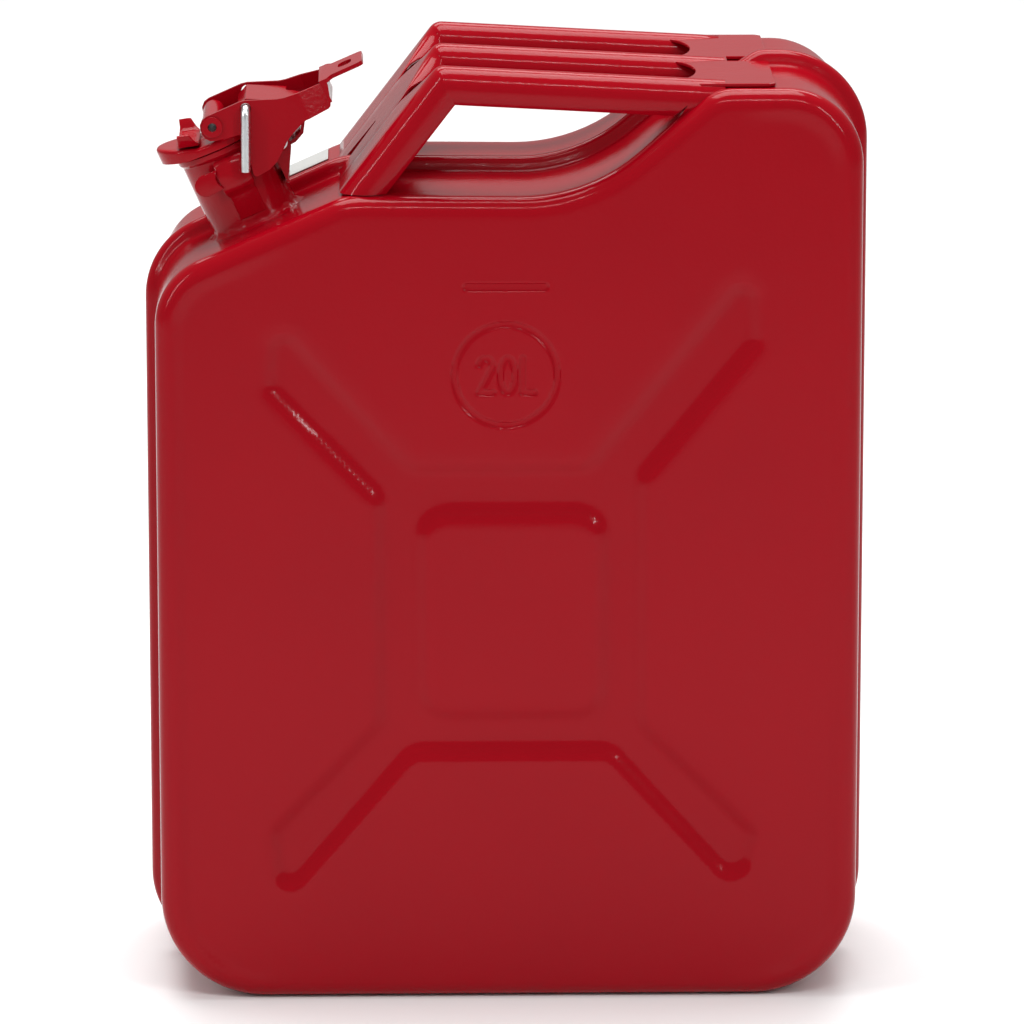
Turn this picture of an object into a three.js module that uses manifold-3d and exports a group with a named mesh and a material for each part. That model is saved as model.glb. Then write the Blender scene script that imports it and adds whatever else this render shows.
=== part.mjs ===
// A 20 litre steel safety gas can: two pressed half shells welded along a raised seam, a
// triple handle, a leaning neck and a hinged cam-lever closure with a locking pin.
// Millimetres, +Z up. The origin is the centre of the base. The front face looks along -Y
// and the spout points to -X.
import * as THREE from "three";
import { mergeVertices } from "three/addons/utils/BufferGeometryUtils.js";
import Module from "manifold-3d";

// ---- driving dimensions ----
const HALF_WIDTH = 169; // of the shells, without the seam bead
const HALF_DEPTH = 81;
const WALL = 1.2;
const GAP = 0.3; // left between pieces that touch
const RIM_RADIUS = 8.5; // rounding between a face and the side band
const BASE_CORNER = 50;
const ROOF_HEIGHT = 396; // level part of the roof, under the handle
const ROOF_LEFT = -78; // where the roof starts to slope down to the spout side
const SHOULDER_HEIGHT = 447; // plateau at the end away from the spout
const TILT = (24 * Math.PI) / 180; // slope of the spout shoulder, and lean of the neck
const BASE_RECESS = 8; // height of the hollow under the can
const BASE_RECESS_HALF = 50;
const PRESS_DEPTH = 2.4; // depth of the X pressed into each face
const PRESS_SLOPE = 3.2;

const BEAD_HEIGHT = 6.5;
const BEAD_HALF = 6;

const NECK_X = -121;
const NECK_Y = -29;
const NECK_RADIUS = 21.75;
const NECK_BORE = 20.25;
const NECK_LENGTH = 41;
const MOUTH_RADIUS = 23;

const PIVOT = { x: 1.65, z: 53.1 }; // lever pivot, across and along the neck
const HINGE = { x: 26.9, z: 31.4 }; // lid hinge, across and along the neck
const PIN_HOLE = { x: 19.8, z: 54.7 };
const CHEEK_IN = 24.7; // inner face of a lever cheek, from the neck's middle
const CHEEK_OUT = 26.7;
const RIVET_RADIUS = 3.5;
const HINGE_PIN_RADIUS = 2.5;
const LOCK_PIN_RADIUS = 2.3;
const LOCK_PIN_DROP = 30;
const CAP_RADIUS = 24;
const CAP_TOP = 45.2;
const SHEET = 1.6;
const TONGUE_LIFT = (15 * Math.PI) / 180;

const BAR_RADIUS = 10;
const BAR_WALL = 1.4;
const BAR_SPACING = 65;
const BAR_SLOPE = (3.1 * Math.PI) / 180;
const BEND = { x: -29.1, z: 447 }; // centre line of a bar where it turns down into the leg
const LEG_ANGLE = (52.5 * Math.PI) / 180;
const LANDING = { left: 95, right: 127, half: 71 };

const ROOF_CORNER = { x: ROOF_LEFT, z: ROOF_HEIGHT };
const NECK_BASE_Z = ROOF_HEIGHT - Math.tan(TILT) * (ROOF_LEFT - NECK_X);

// ---- materials ----
const paint = new THREE.MeshStandardMaterial({ color: 0xa8141c, roughness: 0.25, metalness: 0 });
const zinc = new THREE.MeshStandardMaterial({ color: 0xb9bcbf, roughness: 0.35, metalness: 1 });
const rubber = new THREE.MeshStandardMaterial({ color: 0x1b1b1b, roughness: 0.8, metalness: 0 });
const vinyl = new THREE.MeshStandardMaterial({ color: 0xe6e6e2, roughness: 0.45, metalness: 0 });

const wasm = await Module();
wasm.setup();

const can = new THREE.Group();

// ---- solids ----
function solid(geometry) {
  const bare = new THREE.BufferGeometry();
  bare.setAttribute("position", geometry.getAttribute("position"));
  bare.setIndex(geometry.getIndex());
  const merged = mergeVertices(bare, 1e-4);
  const vertProperties = new Float32Array(merged.attributes.position.array);
  const triVerts = new Uint32Array(merged.index.array);
  return new wasm.Manifold(new wasm.Mesh({ numProp: 3, vertProperties, triVerts }));
}

function addMesh(group, name, made, material) {
  const mesh = made.getMesh();
  const geometry = new THREE.BufferGeometry();
  geometry.setAttribute("position", new THREE.BufferAttribute(mesh.vertProperties, 3));
  geometry.setIndex(new THREE.BufferAttribute(mesh.triVerts, 1));
  geometry.computeVertexNormals();
  const piece = new THREE.Mesh(geometry, material);
  piece.name = name;
  group.add(piece);
  return piece;
}

// Points of a closed outline, counter-clockwise, from corners { x, z, r } with their rounding
// radius. A positive offset moves the whole outline outwards.
function outline(corners, offset = 0, arcStep = 15) {
  const count = corners.length;
  const edges = corners.map((a, i) => {
    const b = corners[(i + 1) % count];
    const length = Math.hypot(b.x - a.x, b.z - a.z);
    const dir = { x: (b.x - a.x) / length, z: (b.z - a.z) / length };
    return { x: a.x + dir.z * offset, z: a.z - dir.x * offset, dir };
  });
  const points = [];
  corners.forEach((corner, i) => {
    const before = edges[(i + count - 1) % count];
    const after = edges[i];
    const turn = before.dir.x * after.dir.z - before.dir.z * after.dir.x;
    const along =
      ((after.x - before.x) * after.dir.z - (after.z - before.z) * after.dir.x) / turn;
    const tip = { x: before.x + before.dir.x * along, z: before.z + before.dir.z * along };
    const side = Math.sign(turn);
    const radius = Math.max(corner.r + side * offset, 0.05);
    const angle = Math.acos(
      THREE.MathUtils.clamp(before.dir.x * after.dir.x + before.dir.z * after.dir.z, -1, 1),
    );
    const reach = radius * Math.tan(angle / 2);
    const start = { x: tip.x - before.dir.x * reach, z: tip.z - before.dir.z * reach };
    const centre = {
      x: start.x - before.dir.z * radius * side,
      z: start.z + before.dir.x * radius * side,
    };
    const first = Math.atan2(start.z - centre.z, start.x - centre.x);
    const steps = Math.max(1, Math.round(THREE.MathUtils.radToDeg(angle) / arcStep));
    for (let k = 0; k <= steps; k += 1) {
      const a = first + (side * angle * k) / steps;
      points.push(
        new THREE.Vector2(centre.x + radius * Math.cos(a), centre.z + radius * Math.sin(a)),
      );
    }
  });
  return points;
}

// An outline in the XZ plane, pushed along Y from y0 to y1. A rounding rounds both ends.
function prism(points, y0, y1, { hole = null, round = 0, slope = round, segments = 4 } = {}) {
  const shape = new THREE.Shape(points);
  if (hole) shape.holes.push(new THREE.Path(hole));
  const geometry = new THREE.ExtrudeGeometry(shape, {
    depth: y1 - y0 - 2 * round,
    bevelEnabled: round > 0,
    bevelThickness: round,
    bevelSize: slope,
    bevelOffset: -slope,
    bevelSegments: segments,
  });
  geometry.translate(0, 0, round - y1);
  geometry.rotateX(Math.PI / 2);
  return solid(geometry);
}

function box(x0, x1, y0, y1, z0, z1) {
  const geometry = new THREE.BoxGeometry(x1 - x0, y1 - y0, z1 - z0);
  geometry.translate((x0 + x1) / 2, (y0 + y1) / 2, (z0 + z1) / 2);
  return solid(geometry);
}

// A round rod or disc along the local Z axis.
function rod(radius, z0, z1, sides = 40) {
  const geometry = new THREE.CylinderGeometry(radius, radius, z1 - z0, sides);
  geometry.rotateX(Math.PI / 2);
  geometry.translate(0, 0, (z0 + z1) / 2);
  return solid(geometry);
}

// The same along the local Y axis, through the point (x, z).
function crossRod(radius, x, z, y0, y1, sides = 20) {
  const geometry = new THREE.CylinderGeometry(radius, radius, y1 - y0, sides);
  geometry.translate(x, (y0 + y1) / 2, z);
  return solid(geometry);
}

// Closed outline of a bent sheet that follows a line of points, with the sheet's thickness.
function sheetOutline(line, thickness) {
  const left = [];
  const right = [];
  line.forEach((point, i) => {
    const a = line[Math.max(i - 1, 0)];
    const b = line[Math.min(i + 1, line.length - 1)];
    const dir = new THREE.Vector2(b.x - a.x, b.y - a.y).normalize();
    let reach = thickness / 2;
    if (i > 0 && i < line.length - 1) {
      const one = new THREE.Vector2(point.x - a.x, point.y - a.y).normalize();
      reach /= Math.max(one.dot(dir), 0.5);
    }
    left.push(new THREE.Vector2(point.x - dir.y * reach, point.y + dir.x * reach));
    right.unshift(new THREE.Vector2(point.x + dir.y * reach, point.y - dir.x * reach));
  });
  return [...right, ...left].reverse();
}

// A section in the plane of Y and the outward normal, pushed along a line in the XZ plane.
function along(section, from, to) {
  const length = Math.hypot(to.x - from.x, to.z - from.z);
  const dir = new THREE.Vector3((to.x - from.x) / length, 0, (to.z - from.z) / length);
  const outward = new THREE.Vector3(-dir.z, 0, dir.x);
  const geometry = new THREE.ExtrudeGeometry(section, { depth: length, bevelEnabled: false });
  const place = new THREE.Matrix4().makeBasis(new THREE.Vector3(0, 1, 0), outward, dir);
  place.setPosition(from.x, 0, from.z);
  geometry.applyMatrix4(place);
  return solid(geometry);
}

// ---- shells ----
function bodyCorners(baseHeight) {
  const slopeFoot = ROOF_HEIGHT - Math.tan(TILT) * (ROOF_LEFT + HALF_WIDTH);
  return [
    { x: -HALF_WIDTH, z: baseHeight, r: BASE_CORNER },
    { x: HALF_WIDTH, z: baseHeight, r: BASE_CORNER },
    { x: HALF_WIDTH, z: SHOULDER_HEIGHT, r: 37 },
    { x: 98, z: SHOULDER_HEIGHT, r: 22 },
    { x: 37, z: ROOF_HEIGHT - 1, r: 85 },
    { x: ROOF_CORNER.x, z: ROOF_CORNER.z, r: 30 },
    { x: -HALF_WIDTH, z: slopeFoot, r: 34 },
  ];
}

// Outline of the X-shaped pressing: four arms round a middle field.
const PRESS_CORNERS = [
  [-47, 124, 12],
  [49, 124, 12],
  [112, 54, 6],
  [119, 82, 6],
  [64, 136, 12],
  [64, 259, 12],
  [118, 325, 6],
  [116, 362, 6],
  [38, 264, 12],
  [-47, 264, 12],
  [-112, 337, 6],
  [-114, 303, 6],
  [-62, 249, 12],
  [-62, 138, 12],
  [-114, 84, 6],
  [-110, 50, 6],
].map(([x, z, r]) => ({ x, z, r }));

const PAD_CORNERS = [
  [-42, 142],
  [45, 142],
  [45, 242],
  [-42, 242],
].map(([x, z]) => ({ x, z, r: 13 }));

// The pressed X as a block that is taken out of the front face, and out of the rear face.
// grow moves its walls, and lift its floor, for the inner side of the sheet.
function pressBlock(side, grow, lift) {
  const face = HALF_DEPTH - lift;
  const block = prism(outline(PRESS_CORNERS, grow, 30), face - PRESS_DEPTH, face + 6, {
    hole: outline(PAD_CORNERS, -grow, 30),
    round: PRESS_DEPTH,
    slope: PRESS_SLOPE,
    segments: 1,
  });
  return side > 0 ? block : block.mirror([0, 1, 0]);
}

function baseRecess(grow) {
  const half = BASE_RECESS_HALF + grow;
  const top = BASE_RECESS + grow;
  const section = new THREE.Shape([
    new THREE.Vector2(-half, -5),
    new THREE.Vector2(half, -5),
    new THREE.Vector2(half - BASE_RECESS, top),
    new THREE.Vector2(-half + BASE_RECESS, top),
  ]);
  return along(section, { x: -HALF_WIDTH - 10, z: 0 }, { x: HALF_WIDTH + 10, z: 0 });
}

// The whole tank as one block, larger or smaller than the shells' outer surface by grow.
function tankBlock(grow, pressed) {
  let block = prism(
    outline(bodyCorners(0), grow),
    -HALF_DEPTH - grow,
    HALF_DEPTH + grow,
    { round: RIM_RADIUS + grow },
  );
  if (pressed) {
    block = block.subtract(pressBlock(1, -grow, -grow));
    block = block.subtract(pressBlock(-1, -grow, -grow));
  }
  return block.subtract(baseRecess(-grow));
}

const tank = tankBlock(0, true);
const hollow = tankBlock(-WALL, true);
const shellWalls = tank.subtract(hollow);
const REACH = 600;

function seamBead() {
  const corners = bodyCorners(BASE_RECESS);
  const full = prism(outline(corners, BEAD_HEIGHT), -BEAD_HALF, BEAD_HALF, {
    round: 4,
    slope: 5,
    segments: 3,
  });
  const frontHalf = box(-REACH, REACH, -BEAD_HALF - 1, 0, -REACH, REACH);
  const behind = prism(outline(corners, GAP), -GAP, BEAD_HALF + 1);
  const underHandle = box(82, 108, -BEAD_HALF - 1, BEAD_HALF + 1, 400, REACH);
  return full
    .subtract(frontHalf.intersect(tankBlock(-WALL / 2, false)))
    .subtract(behind)
    .subtract(tankBlock(GAP, false).subtract(frontHalf))
    .subtract(underHandle);
}

const neckPlace = new THREE.Matrix4()
  .makeTranslation(NECK_X, NECK_Y, NECK_BASE_Z)
  .multiply(new THREE.Matrix4().makeRotationY(-TILT));

function atNeck(made) {
  return made.transform(neckPlace.elements);
}

const neckHole = atNeck(rod(NECK_RADIUS + GAP, -30, 30));
const frontHalfSpace = box(-REACH, REACH, -REACH, 0, -REACH, REACH);
const rearHalfSpace = box(-REACH, REACH, GAP, REACH, -REACH, REACH);
const frontShell = shellWalls
  .intersect(frontHalfSpace)
  .add(seamBead())
  .subtract(neckHole);
addMesh(can, "front_shell", frontShell, paint);
addMesh(can, "rear_shell", shellWalls.intersect(rearHalfSpace), paint);

// ---- neck, catches and hinge bracket, in the neck's own frame ----
const neck = new THREE.Group();
neck.position.set(NECK_X, NECK_Y, NECK_BASE_Z);
neck.rotation.y = -TILT;
can.add(neck);

function ring(profile, sides = 40) {
  const points = profile.map(([r, z]) => new THREE.Vector2(r, z));
  const geometry = new THREE.LatheGeometry([...points, points[0]], sides);
  geometry.rotateX(Math.PI / 2);
  return solid(geometry);
}

const neckTube = ring([
  [NECK_BORE, -8],
  [NECK_RADIUS, -8],
  [NECK_RADIUS, 37],
  [MOUTH_RADIUS, 38.5],
  [MOUTH_RADIUS, NECK_LENGTH],
  [NECK_BORE, NECK_LENGTH],
]);
addMesh(neck, "neck_tube", neckTube, paint);

const FLANGE_RADIUS = 24.6;
const seamClear = -NECK_Y - BEAD_HALF - GAP; // how far back the flange may reach
const neckFlange = ring([
  [NECK_RADIUS + GAP, GAP],
  [FLANGE_RADIUS, GAP],
  [FLANGE_RADIUS, 1],
  [NECK_RADIUS + 1.2, 2.8],
  [NECK_RADIUS + GAP, 2.8],
]).subtract(box(-40, 40, seamClear, 60, -10, 20));
addMesh(neck, "neck_flange", neckFlange, paint);

// A catch is a pad on the neck, a raised strap above it and a round tab beside the strap.
const CATCH_IN = NECK_RADIUS + GAP + 0.1;
function catchPlate(side) {
  const across = new THREE.Matrix4().makeBasis(
    new THREE.Vector3(0, -1, 0),
    new THREE.Vector3(0, 0, 1),
    new THREE.Vector3(-1, 0, 0),
  );
  const line = [
    [CATCH_IN + 0.8, 6],
    [CATCH_IN + 0.8, 17],
    [CATCH_IN + 3.4, 20.5],
    [CATCH_IN + 3.4, 31],
    [CATCH_IN + 1.6, 35.5],
  ].map(([out, height]) => new THREE.Vector2(out, height));
  const section = new THREE.Shape(sheetOutline(line, SHEET));
  const geometry = new THREE.ExtrudeGeometry(section, { depth: 14, bevelEnabled: false });
  geometry.translate(0, 0, -9);
  geometry.applyMatrix4(across);
  const tabCorners = [
    { x: -18.5, z: 23.5, r: 4.8 },
    { x: -4, z: 23.5, r: 0.5 },
    { x: -4, z: 33.5, r: 0.5 },
    { x: -18.5, z: 33.5, r: 4.8 },
  ];
  const tab = prism(outline(tabCorners), -CATCH_IN - 2.6, -CATCH_IN - 1);
  const made = solid(geometry).add(tab);
  return side < 0 ? made : made.mirror([0, 1, 0]);
}
addMesh(neck, "front_catch", catchPlate(-1), paint);
addMesh(neck, "rear_catch", catchPlate(1), paint);

const EAR_IN = 11;
const EAR_OUT = 13;
const WEB_X = NECK_RADIUS + GAP + 0.15;
function hingeBracket() {
  const earCorners = [
    { x: WEB_X, z: 12, r: 0.5 },
    { x: 25, z: 16, r: 3 },
    { x: HINGE.x + 4.4, z: HINGE.z - 4, r: 3 },
    { x: HINGE.x + 4.4, z: HINGE.z + 4.4, r: 4.2 },
    { x: WEB_X, z: HINGE.z + 4.4, r: 0.5 },
  ];
  const ear = prism(outline(earCorners), EAR_IN, EAR_OUT);
  const web = box(WEB_X, WEB_X + 1.3, -EAR_OUT, EAR_OUT, 12, 18);
  const hole = crossRod(HINGE_PIN_RADIUS + GAP, HINGE.x, HINGE.z, -20, 20);
  return web.add(ear).add(ear.mirror([0, 1, 0])).subtract(hole);
}
addMesh(neck, "hinge_bracket", hingeBracket(), paint);

// A pin or rivet along Y with a head at each end, turned from a closed profile.
function headedPin(radius, bore, half, headRadius, headLength, sides = 20) {
  const profile = [
    [bore, -half - headLength],
    [headRadius, -half - headLength],
    [headRadius, -half],
    [radius, -half],
    [radius, half],
    [headRadius, half],
    [headRadius, half + headLength],
    [bore, half + headLength],
  ].map(([r, y]) => new THREE.Vector2(r, y));
  if (bore > 0) profile.push(profile[0]);
  return solid(new THREE.LatheGeometry(profile, sides));
}
const hingePin = headedPin(HINGE_PIN_RADIUS, 0, EAR_OUT + GAP, 4, 1.2);
addMesh(neck, "lid_hinge_pin", hingePin, zinc).position.set(HINGE.x, 0, HINGE.z);

// Breather pipe from the mouth to the air space under the high shoulder.
const VENT_RADIUS = 4.5;
function ventPipe() {
  const inNeck = (x, z) => new THREE.Vector3(x, 0, z).applyMatrix4(neckPlace);
  const line = [
    inNeck(14, 30),
    inNeck(14, 2),
    inNeck(17, -14),
    new THREE.Vector3(-70, NECK_Y, 378),
    new THREE.Vector3(0, NECK_Y, 378),
    new THREE.Vector3(60, NECK_Y, 396),
    new THREE.Vector3(104, NECK_Y, 430),
  ];
  const round = new THREE.Shape();
  round.absarc(0, 0, VENT_RADIUS, 0, 2 * Math.PI, false);
  const bore = new THREE.Path();
  bore.absarc(0, 0, VENT_RADIUS - 0.8, 0, 2 * Math.PI, true);
  round.holes.push(bore);
  const geometry = new THREE.ExtrudeGeometry(round, {
    steps: 28,
    curveSegments: 5,
    extrudePath: new THREE.CatmullRomCurve3(line, false, "centripetal"),
  });
  return solid(geometry);
}
addMesh(can, "vent_tube", ventPipe(), paint);

// ---- lid: cap, gasket, strap, stop saddle and the pivot rivet ----
const TONGUE_TIP = { x: -8.5, r: 20.5 };
const TONGUE_TURN_X = -2;

function tongueOutline(offset) {
  const points = [];
  for (let k = 0; k <= 16; k += 1) {
    const a = Math.PI / 2 + (Math.PI * k) / 16;
    const r = TONGUE_TIP.r + offset;
    points.push(new THREE.Vector2(TONGUE_TIP.x + r * Math.cos(a), r * Math.sin(a)));
  }
  points.push(new THREE.Vector2(3, -TONGUE_TIP.r - offset));
  points.push(new THREE.Vector2(3, TONGUE_TIP.r + offset));
  return points;
}

// An outline in the XY plane, pushed up from z0 to z1.
function slab(points, z0, z1, hole = null) {
  const shape = new THREE.Shape(points);
  if (hole) shape.holes.push(new THREE.Path(hole));
  const geometry = new THREE.ExtrudeGeometry(shape, { depth: z1 - z0, bevelEnabled: false });
  geometry.translate(0, 0, z0);
  return solid(geometry);
}

const tongueTurn = new THREE.Matrix4()
  .makeTranslation(TONGUE_TURN_X, 0, CAP_TOP)
  .multiply(new THREE.Matrix4().makeRotationY(TONGUE_LIFT))
  .multiply(new THREE.Matrix4().makeTranslation(-TONGUE_TURN_X, 0, -CAP_TOP));

function lidCap() {
  const disc = ring([
    [0, CAP_TOP - 2],
    [CAP_RADIUS - SHEET, CAP_TOP - 2],
    [CAP_RADIUS - SHEET, NECK_LENGTH + 0.4],
    [CAP_RADIUS, NECK_LENGTH + 0.4],
    [CAP_RADIUS, CAP_TOP],
    [0, CAP_TOP],
  ]);
  const flange = 7;
  const tongue = slab(tongueOutline(0), CAP_TOP - flange, CAP_TOP)
    .subtract(slab(tongueOutline(-SHEET), CAP_TOP - flange - 1, CAP_TOP - SHEET))
    .subtract(box(TONGUE_TURN_X + 1, 10, -30, 30, CAP_TOP - flange - 1, CAP_TOP - SHEET))
    .transform(tongueTurn.elements);
  const mouth = rod(CAP_RADIUS - SHEET, 0, CAP_TOP - 2).add(
    rod(MOUTH_RADIUS + 1.2, 0, NECK_LENGTH + 0.4),
  );
  return disc.add(tongue.subtract(mouth));
}
const cap = lidCap();
addMesh(neck, "lid_cap", cap, paint);

const gasket = ring([
  [17.5, NECK_LENGTH + GAP],
  [22, NECK_LENGTH + GAP],
  [22, CAP_TOP - 2 - GAP],
  [17.5, CAP_TOP - 2 - GAP],
]);
addMesh(neck, "cap_gasket", gasket, rubber);

const STRAP_HALF = 20;
const TAIL_HALF = 9.5;
const BARREL_RADIUS = 5.2;
const KNUCKLE_RADIUS = 4.3;
function lidStrap() {
  const toPoints = (list) => list.map(([x, z]) => new THREE.Vector2(x, z));
  const bridge = toPoints([
    [3.5, 48.6],
    [7, 46.8],
    [12, 46.8],
    [16.5, 55.2],
    [21, 57.2],
    [38, 49],
  ]);
  const tail = toPoints([
    [35, 50.4],
    [41, 47.4],
    [43.6, 45.5],
    [42.4, 37.5],
    [38.2, 30.6],
    [33.5, 28.4],
    [28.5, 28],
  ]);
  const barrelHole = crossRod(RIVET_RADIUS + GAP, PIVOT.x, PIVOT.z, -60, 60);
  const knuckleHole = crossRod(HINGE_PIN_RADIUS + GAP, HINGE.x, HINGE.z, -60, 60);
  return prism(sheetOutline(bridge, SHEET), -STRAP_HALF, STRAP_HALF)
    .add(crossRod(BARREL_RADIUS, PIVOT.x, PIVOT.z, -STRAP_HALF, STRAP_HALF))
    .add(prism(sheetOutline(tail, SHEET), -TAIL_HALF, TAIL_HALF))
    .add(crossRod(KNUCKLE_RADIUS, HINGE.x, HINGE.z, -TAIL_HALF, TAIL_HALF))
    .subtract(barrelHole)
    .subtract(knuckleHole);
}
addMesh(neck, "lid_strap", lidStrap(), paint);

function stopSaddle() {
  const line = [
    [-22.5, 6.5],
    [-19, 0.7],
    [19, 0.7],
    [22.5, 6.5],
  ].map(([x, y]) => new THREE.Vector2(x, y));
  const section = new THREE.Shape(sheetOutline(line, 1.4));
  const geometry = new THREE.ExtrudeGeometry(section, { depth: 10.5, bevelEnabled: false });
  const place = new THREE.Matrix4().makeBasis(
    new THREE.Vector3(0, 1, 0),
    new THREE.Vector3(0, 0, 1),
    new THREE.Vector3(1, 0, 0),
  );
  geometry.applyMatrix4(place);
  geometry.translate(-18.5, 0, CAP_TOP + 2 * GAP);
  return solid(geometry).transform(tongueTurn.elements);
}
addMesh(neck, "stop_saddle", stopSaddle(), paint);

const pivotRivet = headedPin(RIVET_RADIUS, 2.1, CHEEK_OUT + GAP, 5, 1);
addMesh(neck, "pivot_rivet", pivotRivet, paint).position.set(PIVOT.x, 0, PIVOT.z);

// ---- cam lever and locking pin ----
function camLever() {
  const cheekCorners = [
    [-4.2, 47.2, 5.4],
    [13.5, 44.2, 2],
    [10, 22.4, 1.5],
    [21, 23.5, 9],
    [33, 33.5, 12],
    [43, 37.8, 3],
    [57, 37.8, 2],
    [60.5, 50, 1.5],
    [37, 52.2, 12],
    [20, 58.9, 8],
    [-4.2, 58.9, 5.4],
  ].map(([x, z, r]) => ({ x, z, r }));
  // Seen from above, each cheek runs straight past the strap and then draws in to the web.
  const planCorners = [
    { x: -8, z: CHEEK_IN, r: 0.01 },
    { x: 46, z: CHEEK_IN, r: 0.01 },
    { x: 57, z: 19.2, r: 0.01 },
    { x: 62, z: 19.2, r: 0.01 },
    { x: 62, z: 21.2, r: 0.01 },
    { x: 57, z: 21.2, r: 0.01 },
    { x: 46, z: CHEEK_OUT, r: 0.01 },
    { x: -8, z: CHEEK_OUT, r: 0.01 },
  ];
  const cheek = slab(outline(planCorners), 18, 64)
    .intersect(prism(outline(cheekCorners, 0, 30), 0, 60))
    .subtract(crossRod(RIVET_RADIUS + GAP, PIVOT.x, PIVOT.z, 0, 60))
    .subtract(crossRod(LOCK_PIN_RADIUS + 0.5, PIN_HOLE.x, PIN_HOLE.z, 0, 60));
  const web = box(56.5, 58.5, -21.2, 21.2, 40, 50.2);
  const tangCorners = [
    { x: 56.5, z: -21.2, r: 0.5 },
    { x: 60.5, z: -21.2, r: 0.5 },
    { x: 63, z: -16, r: 1 },
    { x: 79, z: -15.5, r: 3 },
    { x: 79, z: 15.5, r: 3 },
    { x: 63, z: 16, r: 1 },
    { x: 60.5, z: 21.2, r: 0.5 },
    { x: 56.5, z: 21.2, r: 0.5 },
  ];
  const slotCorners = [
    { x: 66.5, z: -6, r: 3.4 },
    { x: 73.5, z: -6, r: 3.4 },
    { x: 73.5, z: 6, r: 3.4 },
    { x: 66.5, z: 6, r: 3.4 },
  ];
  const tang = slab(outline(tangCorners), 49.5, 51.5, outline(slotCorners));
  return cheek.add(cheek.mirror([0, 1, 0])).add(web).add(tang);
}
addMesh(neck, "cam_lever", camLever(), paint);

function lockingPin() {
  const outer = -CHEEK_OUT - LOCK_PIN_RADIUS - 0.7;
  const down = new THREE.Vector3(-Math.sin(TILT), 0, -Math.cos(TILT));
  const bend = 3.5;
  const start = new THREE.Vector3(PIN_HOLE.x, -22, PIN_HOLE.z);
  const corner = new THREE.Vector3(PIN_HOLE.x, outer, PIN_HOLE.z);
  const beforeBend = new THREE.Vector3(PIN_HOLE.x, outer + bend, PIN_HOLE.z);
  const afterBend = corner.clone().addScaledVector(down, bend);
  const end = corner.clone().addScaledVector(down, LOCK_PIN_DROP);
  const path = new THREE.CurvePath();
  path.add(new THREE.LineCurve3(start, beforeBend));
  path.add(new THREE.QuadraticBezierCurve3(beforeBend, corner, afterBend));
  path.add(new THREE.LineCurve3(afterBend, end));
  const round = new THREE.Shape();
  round.absarc(0, 0, LOCK_PIN_RADIUS, 0, 2 * Math.PI, false);
  const geometry = new THREE.ExtrudeGeometry(round, {
    steps: 24,
    curveSegments: 6,
    extrudePath: path,
  });
  return solid(geometry);
}
addMesh(neck, "locking_pin", lockingPin(), zinc);

// ---- handle: three bars, a leg at the spout end and a landing plate at the other ----
function channelSection(middle, radius, wall, openDegrees) {
  const half = THREE.MathUtils.degToRad(openDegrees / 2);
  const first = -Math.PI / 2 + half;
  const last = -Math.PI / 2 - half + 2 * Math.PI;
  const section = new THREE.Shape();
  section.absarc(middle, 0, radius, first, last, false);
  section.absarc(middle, 0, radius - wall, last, first, true);
  section.closePath();
  return section;
}

const barDir = { x: Math.cos(BAR_SLOPE), z: -Math.sin(BAR_SLOPE) };
const legDir = { x: Math.cos(LEG_ANGLE), z: Math.sin(LEG_ANGLE) };
const barStart = { x: BEND.x - 12 * barDir.x, z: BEND.z - 12 * barDir.z };
const barEnd = { x: BEND.x + 124 * barDir.x, z: BEND.z + 124 * barDir.z };
const legFoot = { x: BEND.x - 80 * legDir.x, z: BEND.z - 80 * legDir.z };
const legTop = { x: BEND.x + 14 * legDir.x, z: BEND.z + 14 * legDir.z };
const mitre = (Math.PI - BAR_SLOPE + Math.PI + LEG_ANGLE) / 2 - Math.PI / 2;

// Everything on one side of the mitre plane at the bend, as a block.
function beyondMitre(side) {
  const geometry = new THREE.BoxGeometry(200, 400, 400);
  geometry.translate(side * (100 + GAP / 2), 0, 0);
  geometry.rotateY(-(mitre - Math.PI / 2));
  geometry.translate(BEND.x, 0, BEND.z);
  return solid(geometry);
}
const bodyClear = prism(outline(bodyCorners(0), GAP + 0.1), -200, 200);
const beadClear = prism(outline(bodyCorners(0), BEAD_HEIGHT + 0.5), -BEAD_HALF - 1, BEAD_HALF + 1);

function handleBar(name, middle) {
  const section = channelSection(middle, BAR_RADIUS, BAR_WALL, 70);
  const bar = along(section, barStart, barEnd)
    .intersect(beyondMitre(1))
    .subtract(bodyClear)
    .subtract(beadClear)
    .subtract(box(LANDING.left - GAP, 300, -200, 200, 0, 600));
  addMesh(can, name, bar, paint);
}
handleBar("handle_bar_front", -BAR_SPACING);
handleBar("handle_bar_middle", 0);
handleBar("handle_bar_rear", BAR_SPACING);

// The leg is a plate whose two long edges are rolled, with a tapered slot below each hand
// gap and a notch over the seam bead.
function handleLeg() {
  const plateSection = new THREE.Shape(
    [
      [-BAR_SPACING, BAR_RADIUS - BAR_WALL],
      [BAR_SPACING, BAR_RADIUS - BAR_WALL],
      [BAR_SPACING, BAR_RADIUS],
      [-BAR_SPACING, BAR_RADIUS],
    ].map(([y, out]) => new THREE.Vector2(y, out)),
  );
  let leg = along(plateSection, legFoot, legTop);
  [-BAR_SPACING, BAR_SPACING].forEach((middle) => {
    leg = leg.add(along(channelSection(middle, BAR_RADIUS, BAR_WALL, 120), legFoot, legTop));
  });
  leg = leg.intersect(beyondMitre(-1)).subtract(bodyClear);
  const gapHalf = (BAR_SPACING - 2 * BAR_RADIUS) / 2;
  [-BAR_SPACING / 2, BAR_SPACING / 2].forEach((middle) => {
    leg = leg.subtract(wedge(middle, gapHalf, 470, 434, 1.5));
  });
  return leg.subtract(wedge(0, 9, 390, 416, 1)).subtract(beadClear);
}

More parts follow.
